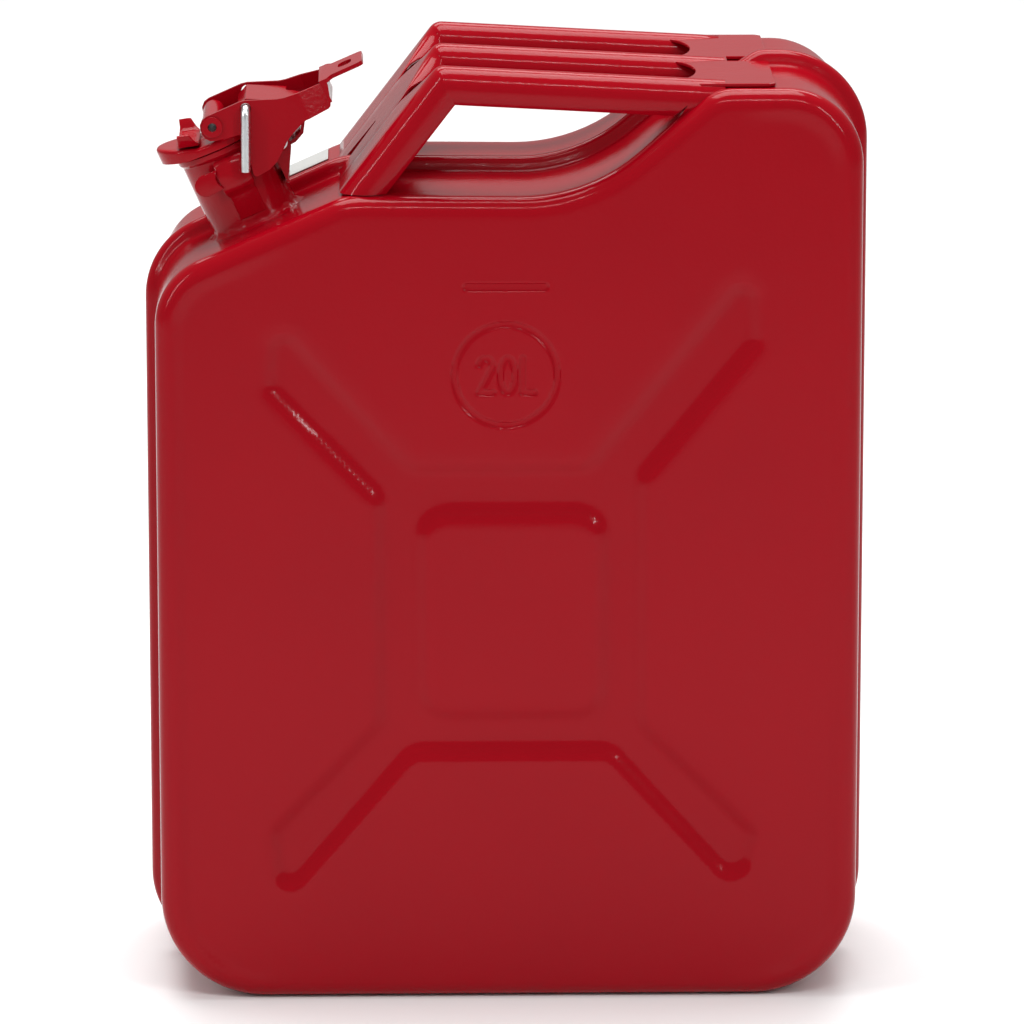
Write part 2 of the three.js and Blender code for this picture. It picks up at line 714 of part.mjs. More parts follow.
// A block along X whose width tapers from half at height z0 to tip at height z1.
function wedge(middle, half, z0, z1, tip) {
  const corners = [
    [middle - half, z0],
    [middle + half, z0],
    [middle + tip, z1],
    [middle - tip, z1],
  ].map(([y, z]) => new THREE.Vector2(y, z));
  if (z1 < z0) corners.reverse();
  const geometry = new THREE.ExtrudeGeometry(new THREE.Shape(corners), {
    depth: 200,
    bevelEnabled: false,
  });
  const place = new THREE.Matrix4().makeBasis(
    new THREE.Vector3(0, 1, 0),
    new THREE.Vector3(0, 0, 1),
    new THREE.Vector3(1, 0, 0),
  );
  geometry.applyMatrix4(place);
  geometry.translate(-150, 0, 0);
  return solid(geometry);
}
addMesh(can, "handle_leg", handleLeg(), paint);

function handleLanding() {
  const z0 = SHOULDER_HEIGHT + GAP + 0.1;
  const plate = box(LANDING.left, LANDING.right, -LANDING.half, LANDING.half, z0, z0 + SHEET);
  return plate.subtract(beadClear.intersect(box(107, 300, -50, 50, 0, 600)));
}
addMesh(can, "handle_landing", handleLanding(), paint);

// ---- blank label on the rear band of the spout shoulder ----
const label = box(-22, 38, 71, 99, GAP, GAP + 0.4);
addMesh(neck, "blank_label", label, vinyl);

export default can;
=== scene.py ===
import math

import bmesh
import bpy
import numpy as np
from mathutils import Matrix, Vector


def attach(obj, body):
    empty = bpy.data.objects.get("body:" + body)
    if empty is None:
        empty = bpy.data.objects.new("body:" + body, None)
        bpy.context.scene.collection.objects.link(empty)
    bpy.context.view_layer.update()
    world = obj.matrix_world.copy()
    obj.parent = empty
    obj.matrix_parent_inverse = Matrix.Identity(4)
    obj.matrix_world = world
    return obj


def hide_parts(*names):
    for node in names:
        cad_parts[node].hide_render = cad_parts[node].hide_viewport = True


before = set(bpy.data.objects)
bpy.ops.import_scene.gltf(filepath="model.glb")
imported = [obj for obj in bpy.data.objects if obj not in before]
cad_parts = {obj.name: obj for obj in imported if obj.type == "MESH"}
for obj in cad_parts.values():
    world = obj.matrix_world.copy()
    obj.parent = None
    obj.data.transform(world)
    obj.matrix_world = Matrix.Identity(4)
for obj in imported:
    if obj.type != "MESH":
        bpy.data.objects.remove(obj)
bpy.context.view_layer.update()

# ---------------------------------------------------------------------------
# Half shells. Each is drawn from one steel sheet: a flat face with an X pressed
# into it, round a plain middle square, and a deep side band with a rounded rim.
# Both halves are sprayed with one glossy red enamel.
# ---------------------------------------------------------------------------
MM = 0.001
HALF_DEPTH = 81.0
RIM_RADIUS = 8.5
BASE_HOLLOW = 8.0
TANK_CORNERS = [
    (-169, 0, 50),
    (169, 0, 50),
    (169, 447, 37),
    (98, 447, 22),
    (37, 395, 85),
    (-78, 396, 30),
    (-169, 396 - math.tan(math.radians(24)) * 91, 34),
]
PRESS_CORNERS = [
    (-47, 124, 12),
    (49, 124, 12),
    (112, 54, 8),
    (119, 82, 6),
    (64, 136, 12),
    (64, 259, 12),
    (118, 325, 6),
    (116, 362, 6),
    (38, 264, 12),
    (-47, 264, 12),
    (-112, 337, 6),
    (-114, 303, 6),
    (-62, 249, 12),
    (-62, 138, 12),
    (-114, 84, 6),
    (-110, 50, 6),
]
PAD_CORNERS = [(-42, 142, 13), (45, 142, 13), (45, 242, 13), (-42, 242, 13)]


def rounded_line(corners, spacing=6.0, arc_step=5.0, offset=0.0):
    """Points and outward normals of a closed line whose corners are rounded."""
    count = len(corners)
    tips = np.array([c[:2] for c in corners], float)
    runs = np.roll(tips, -1, 0) - tips
    runs /= np.linalg.norm(runs, axis=1)[:, None]
    points, normals = [], []
    pieces = []
    for i in range(count):
        before, after = runs[i - 1], runs[i]
        turn = before[0] * after[1] - before[1] * after[0]
        side = 1.0 if turn > 0 else -1.0
        angle = math.acos(max(-1.0, min(1.0, float(before @ after))))
        start = tips[i] - before * corners[i][2] * math.tan(angle / 2)
        centre = start + side * corners[i][2] * np.array([-before[1], before[0]])
        first = math.atan2(*(start - centre)[::-1])
        steps = max(2, int(round(math.degrees(angle) / arc_step)))
        turns = first + side * angle * np.arange(steps + 1) / steps
        rim = np.stack([np.cos(turns), np.sin(turns)], 1)
        radius = max(corners[i][2] + side * offset, 0.02)
        pieces.append((centre + rim * radius, rim * side))
    for i in range(count):
        arc, arc_normals = pieces[i]
        points.extend(arc)
        normals.extend(arc_normals)
        end, start = arc[-1], pieces[(i + 1) % count][0][0]
        parts = int(np.linalg.norm(start - end) // spacing)
        for k in range(1, parts):
            points.append(end + (start - end) * k / parts)
            normals.append(arc_normals[-1])
    return np.array(points), np.array(normals)


def distance_to_line(points, line):
    """Distance from each point to a closed line, negative inside it, with the nearest spot."""
    a = line
    run = np.roll(line, -1, 0) - line
    length = (run**2).sum(1)
    nearest = np.zeros(len(points), int)
    share = np.zeros(len(points))
    signed = np.zeros(len(points))
    for lo in range(0, len(points), 4000):
        p = points[lo : lo + 4000, None, :]
        t = np.clip(((p - a) * run).sum(2) / length, 0, 1)
        gap = ((p - a - t[:, :, None] * run) ** 2).sum(2)
        k = gap.argmin(1)
        row = np.arange(len(k))
        nearest[lo : lo + 4000] = k
        share[lo : lo + 4000] = t[row, k]
        above = a[:, 1] > p[:, :, 1]
        above_next = np.roll(a[:, 1], -1) > p[:, :, 1]
        rise = np.where(run[:, 1] == 0, 1e-9, run[:, 1])
        crossing = a[:, 0] + (p[:, :, 1] - a[:, 1]) / rise * run[:, 0]
        inside = ((above != above_next) & (p[:, :, 0] < crossing)).sum(1) % 2 == 1
        signed[lo : lo + 4000] = np.sqrt(gap[row, k]) * np.where(inside, -1, 1)
    return signed, nearest, share


def ease(t):
    t = np.clip(t, 0, 1)
    return t * t * (3 - 2 * t)


def stroke_distance(points, line):
    """Distance to an open line of a few points."""
    best = np.full(len(points), 1e9)
    for a, b in zip(np.array(line[:-1], float), np.array(line[1:], float)):
        t = np.clip(((points - a) @ (b - a)) / ((b - a) @ (b - a)), 0, 1)
        best = np.minimum(best, np.linalg.norm(points - a - t[:, None] * (b - a), axis=1))
    return best


def arc_points(cx, cz, rx, rz, start, end, steps=10):
    turns = np.radians(np.linspace(start, end, steps))
    return [(cx + rx * math.cos(t), cz + rz * math.sin(t)) for t in turns]


CAPACITY_STROKES = [
    arc_points(-11.2, 314.6, 3.2, 3.6, 170, -25, 9) + [(-14.3, 301.4), (-7.8, 301.4)],
    arc_points(-0.6, 309.8, 3.5, 8.3, 0, 360, 28),
    [(6.6, 318.2), (6.6, 301.4), (12.0, 301.4)],
]
MARK_RING = (-1.5, 310.0, 24.6, 1.5)
MARK_BAR = (-20.0, 17.0, 352.8, 1.9)
PRESS_DEPTH = 3.3
PRESS_SLOPE = 5.6  # width of the slope, half of it on each side of the outline
PRESS_SINK = 0.25  # the sheet beside the outline is drawn down a little with it
MARK_DEPTH = 0.75


def ramp(values, soft=0.14):
    """A straight slope from 0 to 1 with a small round at each end."""

    def bend(v):
        return np.where(v < -soft, 0.0, np.where(v > soft, v, (v + soft) ** 2 / (4 * soft)))

    return bend(values) - bend(values - 1)


def press_depth(points):
    """How far the face is pressed in at each point of it, in millimetres."""
    cross, _, _ = distance_to_line(points, rounded_line(PRESS_CORNERS, 400, 12)[0])
    pad, _, _ = distance_to_line(points, rounded_line(PAD_CORNERS, 400, 10)[0])
    channel = np.minimum(-cross, pad)
    share = ramp((channel + PRESS_SLOPE / 2) / PRESS_SLOPE)
    depth = PRESS_DEPTH * share + PRESS_SINK * ease((channel + 8) / 5) * (1 - share)
    outer = np.maximum(np.abs(points[:, 0] - 2.5) - 105.5, 0)
    return depth + 0.028 * outer


def mark_depth(points):
    """How far the bar, the ring and the capacity are pressed in, in millimetres."""
    near = (np.abs(points[:, 0]) < 34) & (points[:, 1] > 280) & (points[:, 1] < 360)
    spots = points[near]
    ring = np.abs(np.hypot(spots[:, 0] - MARK_RING[0], spots[:, 1] - MARK_RING[1]) - MARK_RING[2])
    low = ease((MARK_RING[3] + 0.35 - ring) / 0.7)
    bar = stroke_distance(spots, [(MARK_BAR[0], MARK_BAR[2]), (MARK_BAR[1], MARK_BAR[2])])
    low = np.maximum(low, ease((MARK_BAR[3] + 0.35 - bar) / 0.7))
    for line in CAPACITY_STROKES:
        low = np.maximum(low, ease((1.5 + 0.35 - stroke_distance(spots, line)) / 0.7))
    depth = np.zeros(len(points))
    depth[near] = MARK_DEPTH * low
    return depth


def grid_lines(low, high, fine_low, fine_high, coarse, fine):
    def span(a, b, step):
        return np.linspace(a, b, max(2, int(round((b - a) / step)) + 1))[:-1]

    parts = [
        span(low, fine_low, coarse),
        span(fine_low, fine_high, fine),
        span(fine_high, high, coarse),
    ]
    return np.concatenate(parts + [[high]])


def shell_mesh(side):
    """Vertices and faces of one half shell, from its face to the seam."""
    marked = side < 0
    rim, rim_normals = rounded_line(TANK_CORNERS, 5, 4, -RIM_RADIUS)
    fine = 0.62 if marked else 2.2
    xs = grid_lines(rim[:, 0].min(), rim[:, 0].max(), -30, 28, 2.2, fine)
    zs = grid_lines(rim[:, 1].min(), rim[:, 1].max(), 281, 358, 2.2, fine)
    grid_x, grid_z = np.meshgrid(xs, zs, indexing="ij")
    centres = np.stack(
        [
            (grid_x[:-1, :-1] + grid_x[1:, 1:]).ravel() / 2,
            (grid_z[:-1, :-1] + grid_z[1:, 1:]).ravel() / 2,
        ],
        1,
    )
    inside = distance_to_line(centres, rim)[0] < -0.35
    columns = len(zs)
    i, j = np.divmod(np.nonzero(inside)[0], columns - 1)
    a = i * columns + j
    cells = np.stack([a, a + columns, a + columns + 1, a + 1], 1)
    directed = {}
    for k in range(4):
        for p, q in zip(cells[:, k], cells[:, (k + 1) % 4]):
            directed[(int(p), int(q))] = True
    following = {p: q for (p, q) in directed if (q, p) not in directed}
    loop = [next(iter(following))]
    while following[loop[-1]] != loop[0]:
        loop.append(following[loop[-1]])
    flat = np.stack([grid_x.ravel(), grid_z.ravel()], 1)
    _, nearest, share = distance_to_line(flat[loop], rim)
    after = (nearest + 1) % len(rim)
    edge = rim[nearest] * (1 - share)[:, None] + rim[after] * share[:, None]
    outward = rim_normals[nearest] * (1 - share)[:, None] + rim_normals[after] * share[:, None]
    outward /= np.linalg.norm(outward, axis=1)[:, None]
    flat[loop] = edge
    used = np.unique(cells)
    number = np.full(len(flat), -1)
    number[used] = np.arange(len(used))
    flat = flat[used]
    cells = number[cells]
    loop = number[loop]
    # the cells beside the edge are evened out, so none is left folded
    fixed = np.zeros(len(flat), bool)
    fixed[loop] = True
    pairs = np.concatenate([cells[:, [k, (k + 1) % 4]] for k in range(4)])
    close = np.abs(distance_to_line(flat, edge)[0]) < 7
    for _ in range(12):
        total = np.zeros_like(flat)
        number_near = np.zeros(len(flat))
        for p, q in ((0, 1), (1, 0)):
            np.add.at(total, pairs[:, p], flat[pairs[:, q]])
            np.add.at(number_near, pairs[:, p], 1)
        move = close & ~fixed
        flat[move] = total[move] / number_near[move][:, None]
    depth = press_depth(flat)
    if marked:
        depth = depth + mark_depth(flat)
    depth *= ease(-distance_to_line(flat, rim)[0] / 6)
    face = np.stack([flat[:, 0], side * (HALF_DEPTH - depth), flat[:, 1]], 1)
    # from the rim round to the seam
    profile = [
        (RIM_RADIUS * math.sin(t) - RIM_RADIUS, HALF_DEPTH - RIM_RADIUS * (1 - math.cos(t)))
        for t in np.radians(np.arange(9, 91, 9))
    ]
    profile += [(0, y) for y in (68, 62, 56, 52, 50, 48, 46, 44, 42, 38, 32, 26, 20, 14, 9, 4, 0.3)]
    rows = [np.array(loop)]
    vertices = [face]
    total = len(face)
    for out, y in profile:
        ring = edge + outward * (RIM_RADIUS + out)
        vertices.append(np.stack([ring[:, 0], np.full(len(ring), side * y), ring[:, 1]], 1))
        rows.append(total + np.arange(len(ring)))
        total += len(ring)
    vertices = np.concatenate(vertices)
    hollow = BASE_HOLLOW * ease((51 - np.abs(vertices[:, 1])) / 9)
    raised = vertices[:, 2] < hollow
    vertices[raised, 2] = hollow[raised]
    faces = [tuple(c) for c in cells.tolist()]
    for near, far in zip(rows[:-1], rows[1:]):
        faces += list(
            zip(near.tolist(), far.tolist(), np.roll(far, -1).tolist(), np.roll(near, -1).tolist())
        )
    if side > 0:
        faces = [f[::-1] for f in faces]
    return vertices, faces


def make_piece(name, vertices, faces, material, sharp=35, place=None):
    """A piece from millimetre vertices, smooth except across edges sharper than the angle."""
    data = bpy.data.meshes.new(name)
    data.from_pydata((np.asarray(vertices, float) * MM).tolist(), [], faces)
    work = bmesh.new()
    work.from_mesh(data)
    bmesh.ops.remove_doubles(work, verts=work.verts, dist=0.02 * MM)
    work.to_mesh(data)
    work.free()
    data.shade_smooth()
    data.set_sharp_from_angle(angle=math.radians(sharp))
    data.materials.append(material)
    piece = bpy.data.objects.new(name, data)
    bpy.context.scene.collection.objects.link(piece)
    if place is not None:
        piece.matrix_world = place
    return piece


def link(tree, source, target):
    tree.links.new(source, target)


def new_group(name, inputs, outputs):
    """An empty shader node group with named sockets."""
    group = bpy.data.node_groups.new(name, "ShaderNodeTree")
    for label, kind, value in inputs:
        socket = group.interface.new_socket(label, in_out="INPUT", socket_type=kind)
        socket.default_value = value
    for label, kind in outputs:
        group.interface.new_socket(label, in_out="OUTPUT", socket_type=kind)
    start = group.nodes.new("NodeGroupInput")
    end = group.nodes.new("NodeGroupOutput")
    return group, start, end


def orange_peel_group():
    """The fine ripple that a sprayed enamel dries with."""
    group, start, end = new_group(
        "orange_peel",
        [("Scale", "NodeSocketFloat", 420.0), ("Depth", "NodeSocketFloat", 0.12)],
        [("Normal", "NodeSocketVector")],
    )
    place = group.nodes.new("ShaderNodeTexCoord")
    ripple = group.nodes.new("ShaderNodeTexNoise")
    ripple.inputs["Detail"].default_value = 1.5
    ripple.inputs["Roughness"].default_value = 0.4
    swell = group.nodes.new("ShaderNodeTexNoise")
    swell.inputs["Scale"].default_value = 38.0
    swell.inputs["Detail"].default_value = 1.0
    both = group.nodes.new("ShaderNodeMath")
    both.operation = "MULTIPLY_ADD"
    both.inputs[1].default_value = 1.4
    bump = group.nodes.new("ShaderNodeBump")
    bump.inputs["Distance"].default_value = 0.0004
    link(group, place.outputs["Object"], ripple.inputs["Vector"])
    link(group, place.outputs["Object"], swell.inputs["Vector"])
    link(group, start.outputs["Scale"], ripple.inputs["Scale"])
    link(group, swell.outputs["Fac"], both.inputs[0])
    link(group, ripple.outputs["Fac"], both.inputs[2])
    link(group, start.outputs["Depth"], bump.inputs["Strength"])
    link(group, both.outputs[0], bump.inputs["Height"])
    link(group, bump.outputs["Normal"], end.inputs["Normal"])
    return group


def tone_group():
    """Slow changes of film thickness, as a tone between two colours and a gloss value."""
    group, start, end = new_group(
        "coat_tone",
        [
            ("Thin", "NodeSocketColor", (0.4, 0.02, 0.02, 1)),
            ("Thick", "NodeSocketColor", (0.2, 0.0, 0.0, 1)),
            ("Gloss", "NodeSocketFloat", 0.24),
            ("Gloss Spread", "NodeSocketFloat", 0.08),
        ],
        [("Color", "NodeSocketColor"), ("Roughness", "NodeSocketFloat")],
    )
    place = group.nodes.new("ShaderNodeTexCoord")
    cloud = group.nodes.new("ShaderNodeTexNoise")
    cloud.inputs["Scale"].default_value = 9.0
    cloud.inputs["Detail"].default_value = 4.0
    speck = group.nodes.new("ShaderNodeTexNoise")
    speck.inputs["Scale"].default_value = 160.0
    speck.inputs["Detail"].default_value = 3.0
    mix = group.nodes.new("ShaderNodeMix")
    mix.data_type = "RGBA"
    spread = group.nodes.new("ShaderNodeMath")
    spread.operation = "MULTIPLY_ADD"
    link(group, place.outputs["Object"], cloud.inputs["Vector"])
    link(group, place.outputs["Object"], speck.inputs["Vector"])
    link(group, cloud.outputs["Fac"], mix.inputs["Factor"])
    link(group, start.outputs["Thin"], mix.inputs["A"])
    link(group, start.outputs["Thick"], mix.inputs["B"])
    link(group, speck.outputs["Fac"], spread.inputs[0])
    link(group, start.outputs["Gloss Spread"], spread.inputs[1])
    link(group, start.outputs["Gloss"], spread.inputs[2])
    link(group, mix.outputs["Result"], end.inputs["Color"])
    link(group, spread.outputs[0], end.inputs["Roughness"])
    return group


orange_peel = orange_peel_group()
coat_tone = tone_group()


def enamel(name, thin, thick, gloss, peel_scale, peel_depth, coat):
    """Sprayed enamel on steel: a coloured coat under a clear wet gloss."""
    material = bpy.data.materials.new(name)
    material.use_nodes = True
    tree = material.node_tree
    shader = tree.nodes["Principled BSDF"]
    tone = tree.nodes.new("ShaderNodeGroup")
    tone.node_tree = coat_tone
    tone.inputs["Thin"].default_value = (*thin, 1)
    tone.inputs["Thick"].default_value = (*thick, 1)
    tone.inputs["Gloss"].default_value = gloss
    peel = tree.nodes.new("ShaderNodeGroup")
    peel.node_tree = orange_peel
    peel.inputs["Scale"].default_value = peel_scale
    peel.inputs["Depth"].default_value = peel_depth
    link(tree, tone.outputs["Color"], shader.inputs["Base Color"])
    link(tree, tone.outputs["Roughness"], shader.inputs["Roughness"])
    link(tree, peel.outputs["Normal"], shader.inputs["Normal"])
    shader.inputs["Coat Weight"].default_value = coat
    shader.inputs["Coat Roughness"].default_value = 0.06
    shader.inputs["Specular IOR Level"].default_value = 0.13
    return material


shell_enamel = enamel(
    "red_enamel", (0.29, 0.001, 0.006), (0.25, 0.001, 0.006), 0.08, 560, 0.1, 0.0
)
front_vertices, front_faces = shell_mesh(-1)
rear_vertices, rear_faces = shell_mesh(1)
NECK_BASE = Vector((-121.0, -29.0, 396 - math.tan(math.radians(24)) * 43))
NECK_AXIS = Vector((-math.sin(math.radians(24)), 0, math.cos(math.radians(24))))


def clear_of_neck(vertices, faces, radius):
    """The faces without those in the hole that the neck stands over."""
    away = np.asarray(vertices) - np.array(NECK_BASE)
    up = away @ np.array(NECK_AXIS)
    out = np.linalg.norm(away - up[:, None] * np.array(NECK_AXIS), axis=1)
    hole = (out < radius) & (np.abs(up) < 30)
    return [f for f in faces if not all(hole[list(f)])]


front_faces = clear_of_neck(front_vertices, front_faces, 25.5)
front_shell = make_piece("front_shell_skin", front_vertices, front_faces, shell_enamel)
rear_shell = make_piece("rear_shell_skin", rear_vertices, rear_faces, shell_enamel)
for skin, node in ((front_shell, "front_shell"), (rear_shell, "rear_shell")):
    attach(skin, "can")
    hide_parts(node)

# ---------------------------------------------------------------------------
# Seam bead. The front half's flange is rolled over the rear half's and welded all
# round, which leaves a proud half-round ridge with a sharp line along its rear side.
# ---------------------------------------------------------------------------
BEAD_CORNERS = [(x, max(z, BASE_HOLLOW), 35 if z == 0 else r) for x, z, r in TANK_CORNERS]
BEAD_PROFILE = [
    (-1.2, -9.4),
    (-0.1, -8.2),
    (0.5, -7.3),
    (1.6, -6.5),
    (3.3, -5.7),
    (5.0, -4.5),
    (6.1, -2.8),
    (6.5, -0.8),
    (6.45, 1.2),
    (5.9, 3.0),
    (4.9, 4.5),
    (3.5, 5.6),
    (2.0, 6.2),
    (1.0, 6.3),
    (0.7, 5.9),
    (0.8, 4.6),
    (-1.2, 4.2),
]


def sweep_loop(points, normals, profile, height, closed=True):
    """Rows of vertices along a line in the XZ plane, from a profile of outward and Y steps."""
    count = len(points)
    vertices, faces = [], []
    for point, normal, share in zip(points, normals, height):
        for out, y in profile:
            step = out if out < 0 else out * share - 0.8 * (1 - share)
            spot = point + normal * step
            vertices.append((spot[0], y, spot[1]))
    width = len(profile)
    for k in range(count if closed else count - 1):
        a, b = k * width, (k + 1) % count * width
        for m in range(width - 1):
            faces.append((a + m, b + m, b + m + 1, a + m + 1))
    return vertices, faces


bead_line, bead_normals = rounded_line(BEAD_CORNERS, 3.0, 3.5)
on_top = bead_line[:, 1] > 400
rising = ease((bead_line[:, 0] - 108) / 16)
falling = ease((80 - bead_line[:, 0]) / 6)
bead_height = np.where(on_top, np.maximum(rising, falling), 1.0)
bead_vertices, bead_faces = sweep_loop(bead_line, bead_normals, BEAD_PROFILE, bead_height)
seam_bead = make_piece(
    "seam_bead", bead_vertices, [f[::-1] for f in bead_faces], shell_enamel, 50
)
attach(seam_bead, "can")

# ---------------------------------------------------------------------------
# Handle. One pressing: three rolled grip bars, which fold down at the spout end into
# a slanting leg and run out at the other end in a flat landing spot-welded on top.
# ---------------------------------------------------------------------------
BAR_RADIUS = 10.0
BEND = np.array([-29.1, 447.0])
BAR_RUN = np.array([math.cos(math.radians(-3.1)), math.sin(math.radians(-3.1))])
LEG_RUN = -np.array([math.cos(math.radians(52.5)), math.sin(math.radians(52.5))])
ROOF = 396.3
SHEET = 1.4


def strip_section(left, right, radius_left, radius_right, curl_left, curl_right, steps=9):
    """Half a tube's worth of sheet: Y and height of points from one flank to the other."""
    section = []
    for k in range(steps):
        t = math.radians(curl_left) * (1 - k / (steps - 1))
        section.append(
            (left + radius_left - radius_left * math.sin(t), radius_left * (math.cos(t) - 1))
        )
    for k in range(1, 6):
        section.append(
            (left + radius_left + (right - radius_right - left - radius_left) * k / 6, 0.0)
        )
    for k in range(steps):
        t = math.radians(curl_right) * k / (steps - 1)
        section.append(
            (right - radius_right + radius_right * math.sin(t), radius_right * (math.cos(t) - 1))
        )
    return section


def bend_centre(drop, radius=7.0):
    """Where the sheet at a depth below the top turns from the bar into the leg."""
    bar_up = np.array([-BAR_RUN[1], BAR_RUN[0]])
    leg_up = np.array([LEG_RUN[1], -LEG_RUN[0]])
    height = BAR_RADIUS + drop
    half = math.acos(float(bar_up @ leg_up)) / 2
    middle = (bar_up + leg_up) / np.linalg.norm(bar_up + leg_up)
    tip = BEND + middle * height / math.cos(half)
    turn = max(radius + drop, 0.4)
    centre = tip - middle * turn / math.cos(half)
    return centre, turn, bar_up, leg_up


def handle_strip(middle, gap_left, gap_right, end_x):
    """One bar and the strip of the leg below it. gap_left and gap_right are the Y of the
    finger gap's tip on each side, or None at the handle's outer edges."""
    stations = []
    bar_steps = np.linspace(0, 1, 16)
    for share in bar_steps:
        stations.append(("bar", share))
    for share in np.linspace(0, 1, 7):
        stations.append(("bend", share))
    for share in np.linspace(0, 1, 22)[1:]:
        stations.append(("leg", share))
    vertices = []
    width = None
    for kind, share in stations:
        down = share if kind == "leg" else 0.0
        spread = ease(np.array([down / 0.36]))[0] if kind == "leg" else 0.0
        linear = min(down / 0.36, 1.0)

        def edge(tip, near, far_flank):
            if tip is None:
                return near, BAR_RADIUS, far_flank
            y = near + (tip - near) * linear**1.15
            radius = BAR_RADIUS * (1 - spread) + 0.3 * spread
            return y, radius, 125 * (1 - spread) + 20 * spread

        left, radius_left, curl_left = edge(gap_left, middle - BAR_RADIUS, 140)
        right, radius_right, curl_right = edge(gap_right, middle + BAR_RADIUS, 140)
        section = strip_section(left, right, radius_left, radius_right, curl_left, curl_right)
        width = len(section)
        for y, drop in section:
            centre, turn, bar_up, leg_up = bend_centre(drop)
            if kind == "bar":
                start = centre + bar_up * turn
                end = start + BAR_RUN * ((end_x - start[0]) / BAR_RUN[0])
                spot = end + (start - end) * share
            elif kind == "bend":
                angle = math.atan2(bar_up[1], bar_up[0]) * (1 - share)
                angle += math.atan2(leg_up[1], leg_up[0]) * share
                up = np.array([math.cos(angle), math.sin(angle)])
                spot = centre + up * turn
            else:
                start = centre + leg_up * turn
                foot = start + LEG_RUN * ((ROOF - start[1]) / LEG_RUN[1])
                spot = start + (foot - start) * share
            vertices.append((spot[0], y, spot[1]))
    faces = []
    for k in range(len(stations) - 1):
        for m in range(width - 1):
            a = k * width + m
            faces.append((a, a + 1, a + width + 1, a + width))
    return vertices, faces


def thicken(piece, thickness, bevel=0.0):
    """Gives a surface its sheet thickness, inwards, with slightly rounded edges."""
    solid = piece.modifiers.new("thickness", "SOLIDIFY")
    solid.thickness = thickness * MM
    solid.offset = -1
    solid.use_even_offset = True
    if bevel:
        soften = piece.modifiers.new("edges", "BEVEL")
        soften.width = bevel * MM
        soften.segments = 2
        soften.limit_method = "ANGLE"
        soften.angle_limit = math.radians(50)
    return piece


handle_parts = []
for name, middle, gap_left, gap_right, end_x in (
    ("handle_strip_front", -65, None, -33, 103),
    ("handle_strip_middle", 0, -33, 33, 106),
    ("handle_strip_rear", 65, 33, None, 106),
):
    vertices, faces = handle_strip(middle, gap_left, gap_right, end_x)
    strip = make_piece(name, vertices, faces, shell_enamel, 60)
    thicken(strip, SHEET)
    handle_parts.append(strip)


def block_from(outline, low, high, name="cutter"):
    """A closed block along Y from an outline in the XZ plane, used to cut sheet with."""
    work = bmesh.new()
    ends = [[work.verts.new((x * MM, y * MM, z * MM)) for x, z in outline] for y in (low, high)]
    count = len(outline)
    for k in range(count):
        n = (k + 1) % count
        work.faces.new((ends[0][k], ends[0][n], ends[1][n], ends[1][k]))
    work.faces.new(ends[0][::-1])
    work.faces.new(ends[1])
    bmesh.ops.recalc_face_normals(work, faces=work.faces[:])
    data = bpy.data.meshes.new(name)
    work.to_mesh(data)
    work.free()
    block = bpy.data.objects.new(name, data)
    bpy.context.scene.collection.objects.link(block)
    return block


def carve(piece, cutter, sharp=50):
    """Cuts a block out of a piece, whose modifiers become part of its mesh."""
    cut = piece.modifiers.new("cut", "BOOLEAN")
    cut.operation = "DIFFERENCE"
    cut.object = cutter
    cut.solver = "EXACT"
    bpy.context.view_layer.update()
    seen = piece.evaluated_get(bpy.context.evaluated_depsgraph_get())
    data = bpy.data.meshes.new_from_object(seen)
    piece.modifiers.clear()
    piece.data = data
    data.shade_smooth()
    data.set_sharp_from_angle(angle=math.radians(sharp))
    bpy.data.objects.remove(cutter)


rise_line, _ = rounded_line(TANK_CORNERS, 6, 5, 2.6)
rise_part = [tuple(p) for p in rise_line if p[0] > 45 and 300 < p[1] < 440 and p[0] < 150]
carve(handle_parts[0], block_from(rise_part + [(rise_part[-1][0], 380)], -120, 120))
slot_cutter = block_from([(-12, 386), (12, 386), (1.5, 419), (-1.5, 419)], -45, 45, "slot")
slot_cutter.rotation_euler = (0, 0, math.radians(90))
slot_cutter.location = (-0.075, 0, 0)
carve(handle_parts[1], slot_cutter)


def landing_outline():
    """Half plan of the landing, from its front edge round to its rear edge."""
    line = [(127, -69), (127, -7), (107, -7), (107, 7), (127, 7), (127, 69), (124, 71.5)]
    line += [(92, 71.5), (82, 67)]
    for start, end in ((65, 0), (0, -65)):
        line += [(82, start - 7)]
        for k in range(0, 11):
            t = k / 10
            y = start - 9 + (end - start + 18) * t
            line.append((84 + 6.5 * math.sin(math.pi * t) ** 0.7, y))
        line += [(82, end + 7)]
    line += [(82, -67), (92, -71.5), (124, -71.5)]
    return line


def flat_plate(name, outline, z_top, thickness, material, bevel=0.4):
    """A flat piece of sheet from its plan outline, with softened edges."""
    data = bpy.data.meshes.new(name)
    work = bmesh.new()
    ring = [work.verts.new((x * MM, y * MM, z_top * MM)) for x, y in outline]
    face = work.faces.new(ring)
    if face.normal.z < 0:
        face.normal_flip()
    face.normal_update()
    bmesh.ops.triangulate(work, faces=work.faces[:])
    work.to_mesh(data)
    work.free()
    data.materials.append(material)
    piece = bpy.data.objects.new(name, data)
    bpy.context.scene.collection.objects.link(piece)
    return thicken(piece, thickness, bevel)


landing = flat_plate("handle_landing_plate", landing_outline(), 449.0, 1.6, shell_enamel)
handle_parts.append(landing)
for part in handle_parts:
    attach(part, "can")
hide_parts("handle_bar_front", "handle_leg")
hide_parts("handle_bar_middle")
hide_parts("handle_bar_rear")
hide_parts("handle_landing")


# ---------------------------------------------------------------------------
# Neck fittings. A tube with a rolled mouth, an uneven fillet of braze at its foot, a
# catch stamped from sheet on each side and two ears behind for the lid's hinge.
# ---------------------------------------------------------------------------
small_enamel = enamel(
    "red_enamel_fittings", (0.3, 0.001, 0.006), (0.25, 0.001, 0.006), 0.1, 640, 0.13, 0.0
)


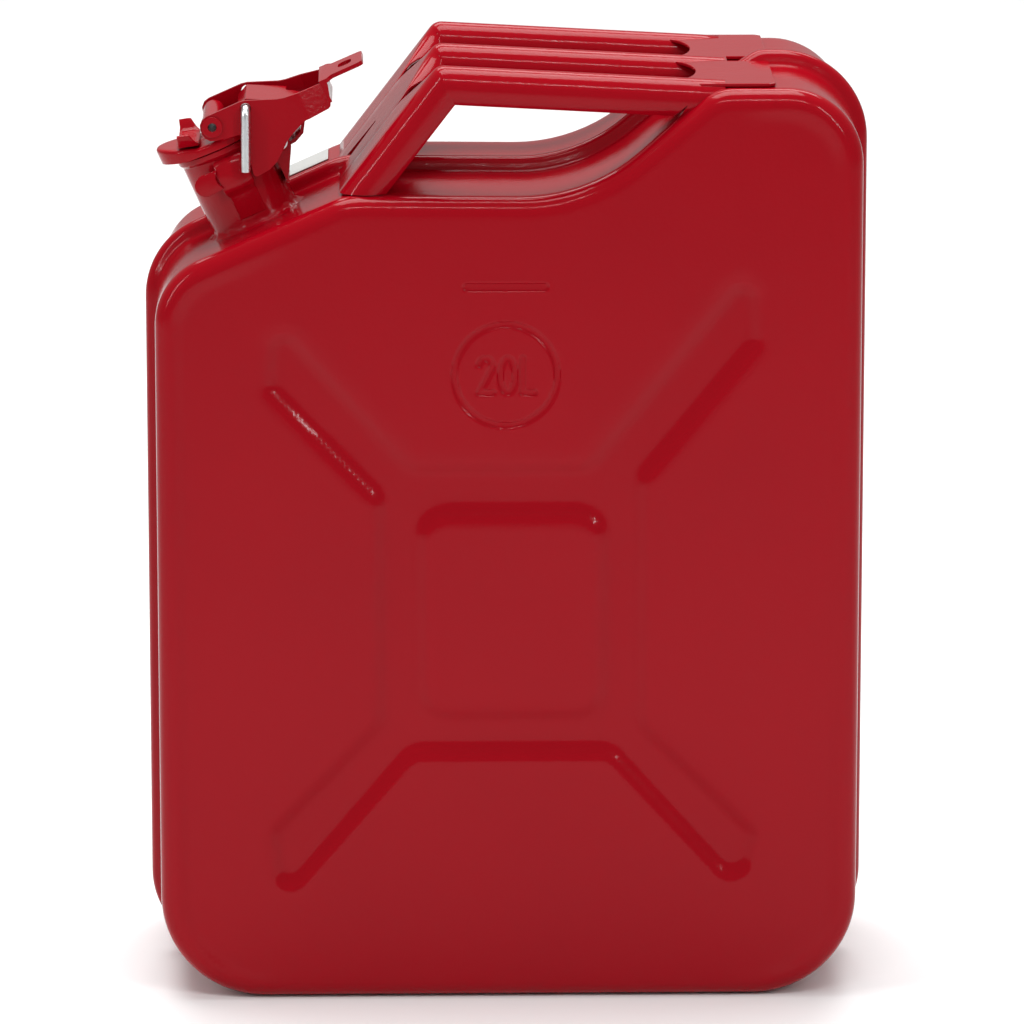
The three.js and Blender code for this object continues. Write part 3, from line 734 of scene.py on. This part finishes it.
def softened(node, body, material, bevel=0.35, sharp=32):
    """A CAD piece with the rounded edges and smooth walls that stamping and plating leave."""
    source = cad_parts[node]
    data = source.data.copy()
    data.materials.clear()
    data.materials.append(material)
    work = bmesh.new()
    work.from_mesh(data)
    bmesh.ops.remove_doubles(work, verts=work.verts, dist=2e-6)
    bmesh.ops.dissolve_limit(
        work, angle_limit=math.radians(1.0), verts=work.verts, edges=work.edges
    )
    work.to_mesh(data)
    work.free()
    data.shade_smooth()
    data.set_sharp_from_angle(angle=math.radians(sharp))
    piece = bpy.data.objects.new(node + "_finished", data)
    bpy.context.scene.collection.objects.link(piece)
    if bevel:
        soften = piece.modifiers.new("edges", "BEVEL")
        soften.width = bevel * MM
        soften.segments = 3
        soften.limit_method = "ANGLE"
        soften.angle_limit = math.radians(sharp)
        soften.harden_normals = True
        soften.use_clamp_overlap = True
    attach(piece, body)
    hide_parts(node)
    return piece


for node in ("neck_tube", "hinge_bracket", "vent_tube"):
    softened(node, "can", small_enamel)

NECK_FRAME = Matrix.Translation(NECK_BASE * MM) @ Matrix.Rotation(math.radians(-24), 4, "Y")


def surface(rows, closed=False):
    """Vertices and faces of a sheet from rows of points."""
    width = len(rows[0])
    vertices = [p for row in rows for p in row]
    faces = []
    for k in range(len(rows) if closed else len(rows) - 1):
        a, b = k * width, (k + 1) % len(rows) * width
        for m in range(width - 1):
            faces.append((a + m, a + m + 1, b + m + 1, b + m))
    return vertices, faces


CATCH_SHEET = 1.5
PAD_TOP = 17.5  # height at which the flat pad turns into the hook
TAB_HEIGHT = 28.4
TAB_RADIUS = 5.2


def catch_strap(side):
    """A pad brazed on the neck whose upper part bulges out into a curled hook."""
    profile = [(22.1, 5.5), (22.1, 17.0), (22.9, 18.6), (24.6, 20.0), (25.8, 21.6), (26.1, 24.5)]
    profile += [(26.2, 28.0), (25.9, 31.5), (25.0, 34.2), (23.6, 35.9), (22.4, 36.6)]
    rows = []
    for step in range(15):
        around = math.radians(-14.5 + 35.5 * step / 14)
        row = []
        for out, up in profile:
            angle = around if up > PAD_TOP else around + math.radians(1.5)
            row.append((out * math.sin(angle), side * out * math.cos(angle), up))
        rows.append(row)
    return surface(rows)


def catch_tab(side):
    """The round ear bent out of the hook's side, as an edge and the ring inside it."""
    outline = [(-5.5, 23.6), (-13.0, 23.2)]
    for turn in np.radians(range(80, -81, -20)):
        outline.append((-13.2 - TAB_RADIUS * math.cos(turn), TAB_HEIGHT - TAB_RADIUS * math.sin(turn)))
    outline += [(-13.0, 33.6), (-5.5, 33.2)]
    edge = [(x, side * (24.9 - 0.035 * (x + 5)), z) for x, z in outline]
    middle = (-8.0, side * 25.2, TAB_HEIGHT)
    inner = []
    for x, _, z in edge:
        inner.append((x * 0.25 + middle[0] * 0.75, middle[1], z * 0.25 + middle[2] * 0.75))
    return surface([edge, inner])


for side, node in ((-1, "front_catch"), (1, "rear_catch")):
    vertices, faces = catch_strap(side)
    if side < 0:
        faces = [f[::-1] for f in faces]
    strap = make_piece(node + "_strap", vertices, faces, small_enamel, 50, NECK_FRAME)
    vertices, faces = catch_tab(side)
    middle_face = tuple(range(len(vertices) // 2, len(vertices)))
    tab = make_piece(node + "_tab", vertices, faces + [middle_face], small_enamel, 50, NECK_FRAME)
    for piece in (strap, tab):
        thicken(piece, CATCH_SHEET, 0.35)
        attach(piece, "can")
    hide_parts(node)


def neck_weld():
    """The uneven fillet of braze round the foot of the neck."""
    rows = []
    for step in range(120):
        turn = 2 * math.pi * step / 120
        swell = 1 + 0.16 * math.sin(7 * turn + 1.0) + 0.12 * math.sin(17 * turn) + 0.08 * math.sin(31 * turn)
        row = []
        for k in range(9):
            t = math.radians(90 * k / 8)
            radius = 21.6 + 3.6 * swell * (1 - math.cos(t)) + 0.15
            up = 3.4 * swell * (1 - math.sin(t)) - 0.1
            row.append((radius * math.cos(turn), radius * math.sin(turn), up))
        rows.append(row)
    return surface(rows, closed=True)


vertices, faces = neck_weld()
weld = make_piece("neck_braze", vertices, faces, small_enamel, 60, NECK_FRAME)
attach(weld, "can")
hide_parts("neck_flange")

# ---------------------------------------------------------------------------
# Lid. A pressed cap with a lifted tongue, a bent strap over it to the hinge, a small
# saddle on the tongue, the hollow rivet for the lever, and a rubber ring inside.
# ---------------------------------------------------------------------------
for node in ("lid_strap", "pivot_rivet"):
    softened(node, "lid", small_enamel)

CAP_TOP = 45.6
CAP_EDGE_ROUND = 2.0
TONGUE_LIFT = math.radians(15)


def cap_edge(turn, shrink=0.0):
    """A point of the cap's outline: round at the hinge side, drawn out into the tongue."""
    if math.cos(turn) >= 0:
        return (24.0 - shrink) * math.cos(turn), (24.0 - shrink) * math.sin(turn)
    reach = (21.6 - shrink) * math.cos(turn)
    pull = -math.cos(turn)
    width = 24.0 + (21.4 - 24.0) * min(1.0, pull * 1.6)
    return -8.4 * min(1.0, pull * 1.9) + reach, (width - shrink) * math.sin(turn)


def cap_height(x):
    """Height of the cap's top, which is level and then rises along the tongue."""
    lift = max(0.0, -9.0 - x)
    return CAP_TOP + lift * math.tan(TONGUE_LIFT) * min(1.0, lift / 3)


def edge_drop(inset):
    """How far the rounded edge has fallen at a distance in from the outline."""
    if inset >= CAP_EDGE_ROUND:
        return 0.0
    rest = CAP_EDGE_ROUND**2 - (CAP_EDGE_ROUND - inset) ** 2
    return CAP_EDGE_ROUND - math.sqrt(max(0.0, rest))


def pressed_cap():
    """The cap's top, its rounded edge and its skirt."""
    rows = []
    for step in range(96):
        turn = 2 * math.pi * step / 96
        row = [(-2.0, 0.0, CAP_TOP)]
        for inset in (16, 9, 4, 2.0, 1.2, 0.6, 0.18, 0.0):
            x, y = cap_edge(turn, inset)
            row.append((x, y, cap_height(x) - edge_drop(inset)))
        x, y = cap_edge(turn)
        foot = 41.5 + 1.6 * float(ease(np.array([(-15 - x) / 15]))[0])
        row.append((x, y, foot + 0.2))
        row.append((x, y, foot))
        rows.append(row)
    return surface(rows, closed=True)


vertices, faces = pressed_cap()
cap = make_piece("lid_cap_pressed", vertices, faces, small_enamel, 45, NECK_FRAME)
thicken(cap, 1.4)
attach(cap, "lid")
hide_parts("lid_cap")


def saddle():
    """A strip across the tongue whose ends flare up and out and grow narrower."""
    line = [(-24.2, 7.6, 5.6), (-22.0, 3.6, 7.6), (-20.4, 1.6, 9.4), (-18.4, 0.9, 10.2), (-10, 0.8, 10.2)]
    line += [(-y, up, wide) for y, up, wide in line[::-1]]
    rows = []
    for y, up, wide in line:
        row = []
        for k in range(5):
            x = -13.4 + wide * (k / 4 - 0.5)
            row.append((x, y, cap_height(x) + up))
        rows.append(row)
    return surface(rows)


vertices, faces = saddle()
stop = make_piece("stop_saddle_bent", vertices, [f[::-1] for f in faces], small_enamel, 50, NECK_FRAME)
thicken(stop, 1.3, 0.3)
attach(stop, "lid")
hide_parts("stop_saddle")

# ---------------------------------------------------------------------------
# Lever. Two flat cheeks joined by a web and a thumb tang, painted with the can.
# ---------------------------------------------------------------------------
softened("cam_lever", "lever", small_enamel)


# ---------------------------------------------------------------------------
# Pins and gasket. Plain zinc-plated wire and rod, and a moulded rubber ring.
# ---------------------------------------------------------------------------
def zinc_plate(name):
    """Bright zinc with a faint fine ripple and a slightly uneven tone and gloss."""
    material = bpy.data.materials.new(name)
    material.use_nodes = True
    tree = material.node_tree
    shader = tree.nodes["Principled BSDF"]
    tone = tree.nodes.new("ShaderNodeGroup")
    tone.node_tree = coat_tone
    tone.inputs["Thin"].default_value = (0.78, 0.79, 0.8, 1)
    tone.inputs["Thick"].default_value = (0.6, 0.61, 0.62, 1)
    tone.inputs["Gloss"].default_value = 0.2
    tone.inputs["Gloss Spread"].default_value = 0.2
    peel = tree.nodes.new("ShaderNodeGroup")
    peel.node_tree = orange_peel
    peel.inputs["Scale"].default_value = 1400
    peel.inputs["Depth"].default_value = 0.25
    link(tree, tone.outputs["Color"], shader.inputs["Base Color"])
    link(tree, tone.outputs["Roughness"], shader.inputs["Roughness"])
    link(tree, peel.outputs["Normal"], shader.inputs["Normal"])
    shader.inputs["Metallic"].default_value = 1.0
    return material


zinc = zinc_plate("zinc_plating")
softened("locking_pin", "pin", zinc, 0.3)
softened("lid_hinge_pin", "can", zinc, 0.3)

rubber = enamel("black_rubber", (0.02, 0.02, 0.02), (0.012, 0.012, 0.012), 0.62, 900, 0.3, 0.0)
softened("cap_gasket", "lid", rubber, 0.3)

# ---------------------------------------------------------------------------
# Label. A blank vinyl sticker on the rear band of the spout shoulder.
# ---------------------------------------------------------------------------
vinyl = enamel("label_vinyl", (0.43, 0.43, 0.415), (0.39, 0.39, 0.375), 0.4, 700, 0.05, 0.1)
softened("blank_label", "can", vinyl, 0.1)

# ---------------------------------------------------------------------------
# Studio. A wide pale floor, a large overhead lamp, thin strips for the gloss, a long lens.
# ---------------------------------------------------------------------------
def studio_floor():
    """A wide, plain sheet of pale paper."""
    data = bpy.data.meshes.new("studio_floor")
    corners = [(-12.0, -12.0, 0.0), (12.0, -12.0, 0.0), (12.0, 12.0, 0.0), (-12.0, 12.0, 0.0)]
    data.from_pydata(corners, [], [(0, 1, 2, 3)])
    material = bpy.data.materials.new("pale_paper")
    material.use_nodes = True
    shader = material.node_tree.nodes["Principled BSDF"]
    shader.inputs["Base Color"].default_value = (0.9, 0.9, 0.9, 1)
    shader.inputs["Roughness"].default_value = 0.6
    data.materials.append(material)
    floor = bpy.data.objects.new("studio_floor", data)
    bpy.context.scene.collection.objects.link(floor)
    floor.location = (0, 0, -0.0005)


def softbox(name, place, aim, size, power):
    lamp = bpy.data.lights.new(name, "AREA")
    lamp.shape = "RECTANGLE"
    lamp.size, lamp.size_y = size
    lamp.energy = power
    holder = bpy.data.objects.new(name, lamp)
    bpy.context.scene.collection.objects.link(holder)
    holder.location = place
    direction = Vector(aim) - Vector(place)
    holder.rotation_euler = direction.to_track_quat("-Z", "Y").to_euler()


studio_floor()
softbox("overhead_softbox", (-0.1, 0.3, 2.3), (0, 0, 0.2), (1.7, 1.1), 52)
softbox("floor_wash", (0, 2.3, 2.6), (0, 2.2, 0), (3.2, 1.2), 62)
softbox("front_strip", (0.1, -1.5, 2.0), (0, 0, 0.3), (1.5, 0.04), 12)
softbox("left_strip", (-1.7, -0.9, 1.2), (0, 0, 0.3), (0.05, 1.3), 10)
softbox("right_strip", (1.25, -1.5, 1.3), (0.1, 0, 0.3), (0.06, 1.0), 11)
world = bpy.data.worlds.new("studio_air")
world.use_nodes = True
world.node_tree.nodes["Background"].inputs["Color"].default_value = (1, 1, 1, 1)
world.node_tree.nodes["Background"].inputs["Strength"].default_value = 0.38
bpy.context.scene.world = world
bpy.context.scene.view_settings.view_transform = "Standard"

lens = bpy.data.cameras.new("long_lens")
lens.sensor_width = 36
lens.lens = 255.9
lens.clip_end = 50
camera = bpy.data.objects.new("camera", lens)
bpy.context.scene.collection.objects.link(camera)
camera.location = (-0.0661, -3.48, 1.0368)
camera.rotation_euler = (math.radians(90 - 13.144), 0, math.radians(-1.138))
bpy.context.scene.camera = camera
